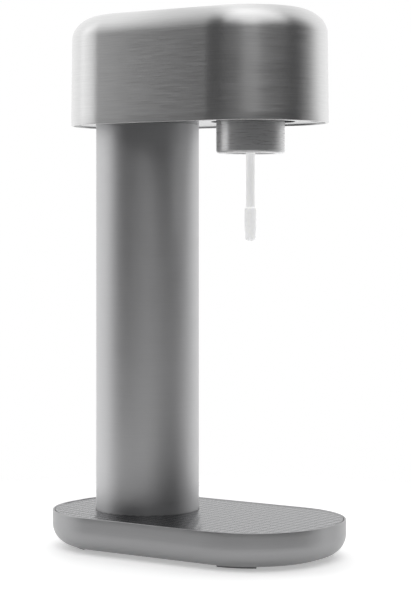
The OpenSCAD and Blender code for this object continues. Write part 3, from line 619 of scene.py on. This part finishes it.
@dataclass
class Foot:
    """The pressed foot shell with its turned-in rim, and the ribbed deck that lies in it."""

    half_length: float = 118.5
    half_width: float = 70.8
    corner_radius: float = 65.0
    bottom: float = 1.5
    top: float = 28.1
    wall: float = 1.5
    floor: float = 2.0
    roll: float = 15.8
    hatch_centre: tuple[float, float] = COLUMN_AXIS
    hatch_radius: float = 40.0
    deck_inset: float = 2.0
    deck_top: float = 27.8
    deck_bottom: float = 25.6
    column_hole: float = 40.4
    rib_pitch: float = 6.6
    rib_depth: float = 0.26
    rib_swing: float = 0.7
    rib_wave: float = 12.0
    plain_edge: float = 1.6
    rows: int = 360
    row_points: int = 48

    def circles(self) -> list[tuple[float, float, float]]:
        """Gives the four corner circles of the foot's outline, counter-clockwise from the front."""
        x, y = self.half_length - self.corner_radius, self.half_width - self.corner_radius
        return [(sx * x, sy * y, self.corner_radius) for sx, sy in ((1, -1), (1, 1), (-1, 1), (-1, -1))]

    def shell(self) -> bpy.types.Object:
        """Builds the shell: flat bottom, rolled side, rounded rim and the matching inside.

        Returns:
            The shell.
        """
        outline = Outline(self.circles(), OUTLINE_POINTS)
        hole_low = outline.circle(self.hatch_centre, self.hatch_radius, self.bottom)
        hole_high = outline.circle(self.hatch_centre, self.hatch_radius, self.bottom + self.floor)
        turns = [math.radians(90 - 90 * k / 14) for k in range(15)]
        outside, inside = [], []
        for a in turns:
            inset, rise = self.roll * (1 - math.cos(a)), self.roll * (1 - math.sin(a))
            outside.append(outline.ring(inset, self.bottom + rise))
        inner_roll = self.roll - self.wall / 2
        for a in reversed(turns):
            inset, rise = inner_roll * (1 - math.cos(a)), inner_roll * (1 - math.sin(a))
            inside.append(outline.ring(self.wall + inset, self.bottom + self.floor + rise))
        lip = self.wall / 2
        rim = [outline.ring(lip - r, z) for r, z in corner((0.0, self.top - lip), lip, 0, 180, 9)]
        sides = between(outside[-1], rim[0], 3)
        rings = [hole_low, *between(hole_low, outside[0], 6), *outside, *sides, *rim, *inside]
        rings += [*between(inside[-1], hole_high, 6), hole_high]
        return loft("foot_skin", rings)

    def _half_width_at(self, x: float) -> float:
        """Gives half the deck's width at one station.

        Args:
            x: The station's distance to the front, in millimetres.

        Returns:
            The half width in millimetres.
        """
        radius = self.corner_radius - self.deck_inset
        straight = self.half_length - self.corner_radius
        over = max(0.0, abs(x) - straight)
        return self.half_width - self.corner_radius + math.sqrt(max(0.0, radius**2 - over**2))

    def _half_hole_at(self, x: float) -> float:
        """Gives half the width of the column's hole at x, in millimetres."""
        return math.sqrt(max(0.0, self.column_hole**2 - (x - self.hatch_centre[0]) ** 2))

    def _height_at(self, x: float, y: float, margin: float) -> float:
        """Gives the height of the deck's wavy ribs at a point.

        Args:
            x: Distance to the front, in millimetres.
            y: Distance to the side, in millimetres.
            margin: Distance from the deck's edge, which stays plain, in millimetres.

        Returns:
            The height in millimetres.
        """
        phase = (x + self.rib_swing * math.sin(2 * math.pi * y / self.rib_wave)) / self.rib_pitch
        depth = self.rib_depth * min(1.0, margin / self.plain_edge)
        return self.deck_top - depth * (0.5 - 0.5 * math.cos(2 * math.pi * phase))

    def deck(self) -> bpy.types.Object:
        """Builds the deck with wavy crosswise ribs, row by row from back to front.

        Returns:
            The deck.
        """
        end = self.half_length - self.deck_inset
        radius = self.corner_radius - self.deck_inset
        straight = self.half_length - self.corner_radius
        stations = {round(-end + 2 * end * i / self.rows, 4) for i in range(self.rows + 1)}
        for k in range(31):
            reach = math.sin(math.radians(3 * k))
            stations |= {round(s * (straight + radius * reach), 4) for s in (-1, 1)}
            stations |= {round(self.hatch_centre[0] + s * self.column_hole * reach, 4) for s in (-1, 1)}
        bm = bmesh.new()
        columns = []
        for x in sorted(x for x in stations if -end <= x <= end):
            edge, hole = self._half_width_at(x), self._half_hole_at(x)
            brink = max(hole, edge - self.plain_edge)
            points = self.row_points
            widths = [edge] + [brink + (hole - brink) * k / points for k in range(points + 1)]
            for side in (1, -1):
                spots = [Vector((x, side * y, self._height_at(x, side * y, edge - y))) for y in widths]
                columns.append([bm.verts.new(spot * MM) for spot in spots])
        for a, b in zip(columns, columns[2:]):
            for i in range(len(a) - 1):
                bm.faces.new((a[i], a[i + 1], b[i + 1], b[i]))
        bmesh.ops.remove_doubles(bm, verts=bm.verts, dist=1e-6)
        bmesh.ops.dissolve_degenerate(bm, edges=bm.edges, dist=1e-7)
        bmesh.ops.recalc_face_normals(bm, faces=bm.faces)
        grown = bmesh.ops.extrude_face_region(bm, geom=list(bm.faces))
        for item in grown["geom"]:
            if isinstance(item, bmesh.types.BMVert):
                item.co.z = self.deck_bottom * MM
        bmesh.ops.recalc_face_normals(bm, faces=bm.faces)
        mesh = bpy.data.meshes.new("deck_plate")
        bm.to_mesh(mesh)
        bm.free()
        return link_object("deck_plate", mesh, 40)

    def build(self) -> None:
        """Builds the foot's pieces."""
        fit_piece(self.shell(), "stand", "base_silver", "base_shell")
        fit_piece(self.deck(), "stand", "deck_grey", "drip_deck")


@dataclass
class Column:
    """The extruded tube between foot and head."""

    axis: tuple[float, float] = COLUMN_AXIS
    radius: float = 40.0
    wall: float = 2.0
    bottom: float = 26.2
    top: float = 344.1
    edge: float = 0.4

    def build(self) -> None:
        """Builds the tube with its ends broken by a small round."""
        r, e, inner = self.radius, self.edge, self.radius - self.wall
        profile = (
            corner((r - e, self.bottom + e), e, -90, 0)
            + [(r, self.bottom + (self.top - self.bottom) * k / 12) for k in range(1, 12)]
            + corner((r - e, self.top - e), e, 0, 90)
            + [(inner, self.top), (inner, self.bottom)]
        )
        fit_piece(lathe("column_skin", profile, self.axis, 192), "stand", "column_silver", "column_tube")


@dataclass
class Head:
    """The deep-drawn head shell, open below, with a round hole for the button."""

    front: tuple[float, float, float] = (*NOZZLE_AXIS, 58.8)
    back: tuple[float, float, float] = (-52.0, 0.0, 55.5)
    bottom: float = 325.1
    top: float = 411.3
    wall: float = 2.0
    lean: float = 0.8
    roll_out: float = 25.5
    roll_down: float = 19.2
    button_centre: tuple[float, float] = NOZZLE_AXIS
    button_hole: float = 17.9
    edge: float = 0.5
    hole_edge: float = 0.4

    def _side(self, outline: Outline, depth: float, steps: int) -> list[Ring]:
        """Gives the rings of one face, from the lower edge over the roll to the flat top.

        Args:
            outline: The head's outline.
            depth: How far the face lies inside the outer one, in millimetres.
            steps: Number of steps round the roll.

        Returns:
            The rings in order.
        """
        foot_of_roll = self.top - depth - (self.roll_down - depth / 2)
        reach = self.roll_out - depth / 2
        drop = self.roll_down - depth / 2
        rings = []
        for k in range(9):
            t = k / 9
            rings.append(outline.ring(depth + self.lean * t, self.bottom + (foot_of_roll - self.bottom) * t))
        for k in range(steps + 1):
            a = math.radians(90 * k / steps)
            inset, fall = reach * (1 - math.cos(a)), drop * (1 - math.sin(a))
            rings.append(outline.ring(depth + self.lean + inset, self.top - depth - fall))
        return rings

    def build(self) -> None:
        """Builds the shell as one closed skin."""
        outline = Outline([self.front, self.back], OUTLINE_POINTS)
        edge, bend = self.edge, self.hole_edge
        lower = [outline.ring(edge - r, z) for r, z in corner((0.0, self.bottom + edge), edge, -90, -30, 2)]
        outside = self._side(outline, 0.0, 22)
        outside[0] = outline.ring(0.0, self.bottom + edge)
        brink = corner((self.button_hole + bend, self.top - bend), bend, 90, 180, 3)
        hole = [outline.circle(self.button_centre, r, z) for r, z in brink]
        under = outline.circle(self.button_centre, self.button_hole, self.top - self.wall)
        inside = list(reversed(self._side(outline, self.wall, 12)))
        rings = [*lower, *outside, *between(outside[-1], hole[0], 6), *hole]
        rings += [under, *between(under, inside[0], 4), *inside]
        fit_piece(loft("head_skin", rings), "stand", "head_silver", "head_shell")


@dataclass
class PressButton:
    """The round button that is let into the head's top."""

    axis: tuple[float, float] = NOZZLE_AXIS
    radius: float = 17.3
    flange: float = 19.1
    top: float = 411.0
    skirt: float = 402.0
    flange_low: float = 405.6
    flange_high: float = 407.1
    dish: float = 0.5

    def build(self) -> None:
        """Builds the cap with a rounded rim and a shallow dished face."""
        r, e = self.radius, 0.6
        shares = [k / 12 for k in range(12, -1, -1)]
        face = [(max(CORE, (r - 1.6) * t), self.top - self.dish * (1 - t**2)) for t in shares]
        profile = (
            [(r - 1.8, self.skirt), (r, self.skirt), (r, self.flange_low), (self.flange, self.flange_low)]
            + [(self.flange, self.flange_high), (r, self.flange_high)]
            + corner((r - e, self.top - e), e, 0, 90)
            + face
            + [(CORE, self.top - 2.8), (r - 1.8, self.top - 2.8)]
        )
        fit_piece(lathe("button_face", profile, self.axis), "button", "button_silver", "button_cap")


@dataclass
class BottleHolder:
    """The collar that takes the bottle's neck, and the nozzle that hangs in it."""

    axis: tuple[float, float] = NOZZLE_AXIS
    collar_radius: float = 25.8
    collar_wall: float = 1.6
    collar_bottom: float = 302.2
    collar_top: float = 335.0
    lip: float = 19.8
    lip_height: float = 2.4
    fillet: float = 2.6
    stem_radius: float = 3.35
    stem_top: float = 344.0
    tip_low: float = 236.5
    tip_high: float = 261.3
    tip_radius: float = 4.5

    def collar(self) -> bpy.types.Object:
        """Builds the collar with its rounded lower edge and inner lip.

        Returns:
            The collar.
        """
        r, low = self.collar_radius, self.collar_bottom
        inner = r - self.collar_wall
        profile = (
            corner((r - self.fillet, low + self.fillet), self.fillet, -90, 0, 10)
            + [(r, low + 8), (r, low + 16), (r, self.collar_top - 0.3), (r - 0.3, self.collar_top)]
            + [(inner, self.collar_top), (inner, low + self.lip_height)]
            + corner((self.lip + 0.6, low + self.lip_height - 0.6), 0.6, 90, 180, 3)
            + corner((self.lip + 0.6, low + 0.6), 0.6, 180, 270, 3)
        )
        return lathe("collar_ring", profile, self.axis)

    def stem(self) -> bpy.types.Object:
        """Builds the stem, down to its seat in the tip.

        Returns:
            The stem.
        """
        low = self.tip_high - 1
        profile = [(CORE, low), (self.stem_radius, low)]
        profile += [(self.stem_radius, low + (self.stem_top - low) * k / 8) for k in range(1, 9)]
        profile += [(CORE, self.stem_top)]
        return lathe("nozzle_tube", profile, self.axis, 64)

    def tip(self) -> bpy.types.Object:
        """Builds the tip, which tapers to a rounded end with a small jet.

        Returns:
            The tip.
        """
        r, low, high = self.tip_radius, self.tip_low, self.tip_high
        jet = 0.5
        profile = (
            [(CORE, low + 1.5), (jet, low + 1.5), (jet, low)]
            + corner((r - 2.5, low + 2.0), 2.0, -75, -5, 8)
            + [(r - 0.25, low + 7), (r, low + 13), (r, high - 0.4)]
            + corner((r - 0.2, high - 0.2), 0.2, 0, 90, 4)
            + [(CORE, high)]
        )
        return lathe("nozzle_sleeve", profile, self.axis, 64)

    def build(self) -> None:
        """Builds the holder's visible pieces."""
        fit_piece(self.collar(), "bottle_holder", "collar_silver", "nozzle_collar")
        fit_piece(self.stem(), "bottle_holder", "white_moulding", "nozzle_stem")
        fit_piece(self.tip(), "bottle_holder", "white_moulding", "nozzle_tip")


@dataclass(frozen=True)
class CompressionSpring:
    """A coil of drawn wire with closed ends, wound into the space of its node."""

    name: str
    node: str
    body: str
    joint: str
    wire_radius: float
    turns: int
    held_at_top: bool = False
    turn_steps: int = 36
    wire_sides: int = 12

    def centre_line(self, low: Vector, high: Vector) -> list[Vector]:
        """Gives the middle of the wire, in millimetres.

        Args:
            low: Lowest corner of the spring's space, in millimetres.
            high: Highest corner of that space.

        Returns:
            Points along the coil, from the bottom up.
        """
        middle = (low + high) / 2
        radius = (high.x - low.x) / 2 - self.wire_radius
        rise = high.z - low.z - 2 * self.wire_radius
        flat = 0.5 / self.turns
        points = []
        for i in range(self.turns * self.turn_steps + 1):
            share = i / (self.turns * self.turn_steps)
            climbed = min(1.0, max(0.0, (share - flat) / (1 - 2 * flat)))
            turn = 2 * math.pi * i / self.turn_steps
            spoke = Vector((radius * math.cos(turn), radius * math.sin(turn)))
            height = low.z + self.wire_radius + rise * climbed
            points.append(Vector((middle.x + spoke.x, middle.y + spoke.y, height)))
        return points

    def build(self, frame: dict[str, object]) -> None:
        """Winds the spring into its node's space.

        Args:
            frame: The loaded frame; not used.
        """
        low, high = (Vector(point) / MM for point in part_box(self.node))
        middle = (low + high) / 2
        rings = []
        line = self.centre_line(low, high)
        for i, point in enumerate(line):
            along = (line[min(i + 1, len(line) - 1)] - line[max(i - 1, 0)]).normalized()
            outward = Vector((point.x - middle.x, point.y - middle.y, 0.0)).normalized()
            across = along.cross(outward).normalized()
            angles = [2 * math.pi * k / self.wire_sides for k in range(self.wire_sides)]
            spokes = [(outward * math.cos(a) + across * math.sin(a)) * self.wire_radius for a in angles]
            rings.append([(point + spoke) * MM for spoke in spokes])
        piece = loft(self.name, rings, capped=True)
        fit_piece(piece, self.body, "spring_steel", self.node)
        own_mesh(piece)


BUTTON_COIL = CompressionSpring("button_coil", "button_spring", "stand", "button_press", 0.7, 5)
VALVE_COIL = CompressionSpring("valve_coil", "valve_pin_spring", "gas_bottle", "pin_push", 0.35, 7)
RELIEF_COIL = CompressionSpring(
    "relief_coil", "relief_spring", "bottle_holder", "relief_lift", 0.3, 5, held_at_top=True
)


@dataclass
class Works:
    """The pieces that keep their CAD shape: hatch, gas cylinder, valve, rocker, jaws and fasteners."""

    frame: dict[str, object]

    def build(self) -> None:
        """Dresses each CAD node in the finish of its slot."""
        for subpart in self.frame["record"]["subparts"]:
            node, slot = subpart["node"], subpart["material_slot"]
            piece = self.frame["nodes"][node]
            finish = NODE_FINISHES.get(node, SLOT_FINISHES[slot]).build()
            for material_slot in piece.material_slots:
                material_slot.material = finish
            log.info("%s keeps its shape, in %s", node, finish.name)


# ---------- Studio ----------


@dataclass(frozen=True)
class Softbox:
    """A square of soft light that faces a point on the object."""

    name: str
    place: tuple[float, float, float]
    size: tuple[float, float]
    radiance: float
    aim: tuple[float, float, float] = (0.0, 0.0, 0.22)

    def build(self) -> None:
        """Hangs the softbox, out of the camera's sight."""
        lamp = bpy.data.lights.new(self.name, "AREA")
        lamp.shape = "RECTANGLE"
        lamp.size, lamp.size_y = self.size
        lamp.energy = self.radiance * math.pi * self.size[0] * self.size[1]
        holder = bpy.data.objects.new(self.name, lamp)
        bpy.context.scene.collection.objects.link(holder)
        holder.location = self.place
        holder.rotation_euler = (Vector(self.aim) - Vector(self.place)).to_track_quat("-Z", "Y").to_euler()
        holder.visible_camera = False


@dataclass
class Studio:
    """A pale table in front of white paper: the room is bright behind and above, and dim by the camera."""

    camera_place: tuple[float, float, float] = (0.8715, -1.2459, 0.2559)
    camera_heading: tuple[float, float] = (-0.5699, 0.8222)
    lens_mm: float = 119.09
    rise: float = -0.1413
    dim: str = "#424243"
    paper: str = "#ffffff"
    paper_strength: float = 1.16
    paper_tilt: float = 22.0
    table_radius: float = 0.48
    table_glow: float = 0.35
    table_tint: str = "#f7f7f7"
    fade_from: float = 0.18
    fade_to: float = 0.46
    # From where to where the room brightens, as the cosine of the angle to the paper.
    paper_span: tuple[float, float] = (-0.05, 0.6)
    softboxes: list[Softbox] = field(
        default_factory=lambda: [
            Softbox("left_softbox", (-0.7, -0.38, 0.35), (0.5, 1.2), 0.62),
            Softbox("right_softbox", (0.62, 0.42, 0.1), (0.35, 0.38), 0.36),
            Softbox("top_softbox", (0.55, -0.5, 1.3), (1.5, 1.4), 1.15, (0.55, -0.5, 0.0)),
            Softbox("brow_softbox", (0.6, -0.87, 0.96), (0.5, 0.45), 0.8),
            Softbox("collar_softbox", (-0.53, -0.4, 0.34), (0.24, 0.07), 1.2, (0.0491, 0.0, 0.318)),
        ]
    )

    def camera(self) -> None:
        """Sets up a level camera with a long lens, its frame lowered to take in the whole object."""
        lens = bpy.data.cameras.new("camera")
        lens.lens = self.lens_mm
        lens.sensor_width = 36.0
        lens.shift_y = self.rise
        lens.clip_end = 50.0
        holder = bpy.data.objects.new("camera", lens)
        bpy.context.scene.collection.objects.link(holder)
        holder.location = self.camera_place
        heading = Vector((*self.camera_heading, 0.0))
        holder.rotation_euler = heading.to_track_quat("-Z", "Y").to_euler()
        bpy.context.scene.camera = holder

    def table(self) -> None:
        """Builds the round white table, lit from below, fading out at its edge."""
        bm = bmesh.new()
        bmesh.ops.create_circle(bm, cap_ends=True, radius=self.table_radius, segments=96)
        mesh = bpy.data.meshes.new("table")
        bm.to_mesh(mesh)
        bm.free()
        table = bpy.data.objects.new("table", mesh)
        bpy.context.scene.collection.objects.link(table)
        table.location.z = -0.0002
        material = bpy.data.materials.new("opal_acrylic_table")
        material.use_nodes = True
        tree = material.node_tree
        tree.nodes.clear()
        white = linear(self.table_tint)
        opal = {"Base Color": white, "Roughness": 0.6, "Emission Color": white}
        sheet = add_node(tree, "ShaderNodeBsdfPrincipled", opal | {"Emission Strength": self.table_glow})
        clear = add_node(tree, "ShaderNodeBsdfTransparent")
        place = add_node(tree, "ShaderNodeTexCoord").outputs["Object"]
        reach = add_node(tree, "ShaderNodeVectorMath", {0: place}, operation="LENGTH").outputs["Value"]
        span = {"Value": reach, "From Min": self.fade_from, "From Max": self.fade_to}
        fade = add_node(tree, "ShaderNodeMapRange", span, interpolation_type="SMOOTHSTEP").outputs["Result"]
        layers = {0: fade, 1: sheet.outputs["BSDF"], 2: clear.outputs["BSDF"]}
        both = add_node(tree, "ShaderNodeMixShader", layers)
        add_node(tree, "ShaderNodeOutputMaterial", {"Surface": both.outputs["Shader"]})
        mesh.materials.append(material)

    def surroundings(self) -> None:
        """Makes the room's light, which brightens towards the paper, and shows the camera plain paper."""
        world = bpy.data.worlds.new("studio")
        bpy.context.scene.world = world
        world.use_nodes = True
        tree = world.node_tree
        tree.nodes.clear()
        tilt = math.radians(self.paper_tilt)
        x, y = self.camera_heading
        toward = (x * math.cos(tilt), y * math.cos(tilt), math.sin(tilt))
        ray = add_node(tree, "ShaderNodeTexCoord").outputs["Generated"]
        facing = add_node(tree, "ShaderNodeVectorMath", {0: ray, 1: toward}, operation="DOT_PRODUCT")
        start, end = self.paper_span
        span = {"Value": facing.outputs["Value"], "From Min": start, "From Max": end}
        share = add_node(tree, "ShaderNodeMapRange", span, interpolation_type="SMOOTHSTEP").outputs["Result"]
        dim, lit, plain = (
            add_node(tree, "ShaderNodeBackground", {"Color": linear(tint), "Strength": strength}).outputs[0]
            for tint, strength in ((self.dim, 1.0), (self.paper, self.paper_strength), (self.paper, 1.0))
        )
        room = add_node(tree, "ShaderNodeMixShader", {0: share, 1: dim, 2: lit}).outputs["Shader"]
        seen = add_node(tree, "ShaderNodeLightPath").outputs["Is Camera Ray"]
        both = add_node(tree, "ShaderNodeMixShader", {0: seen, 1: room, 2: plain})
        add_node(tree, "ShaderNodeOutputWorld", {"Surface": both.outputs["Shader"]})

    def build(self) -> None:
        """Sets up camera, table, room and softboxes, with colours shown as they are."""
        bpy.context.scene.view_settings.view_transform = "Standard"
        self.camera()
        self.table()
        self.surroundings()
        for softbox in self.softboxes:
            softbox.build()
            log.info("%s hangs at %s", softbox.name, softbox.place)


def main() -> None:
    """Loads the frame, and builds every piece and the studio."""
    logging.basicConfig(level=logging.INFO, format="%(name)s: %(message)s")
    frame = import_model()
    Studio().build()
    Works(frame).build()
    for assembly in (Foot(), Column(), Head(), PressButton(), BottleHolder()):
        assembly.build()
        log.info("%s is built", type(assembly).__name__)
    for spring in (BUTTON_COIL, VALVE_COIL, RELIEF_COIL):
        spring.build(frame)


if __name__ == "__main__":
    main()
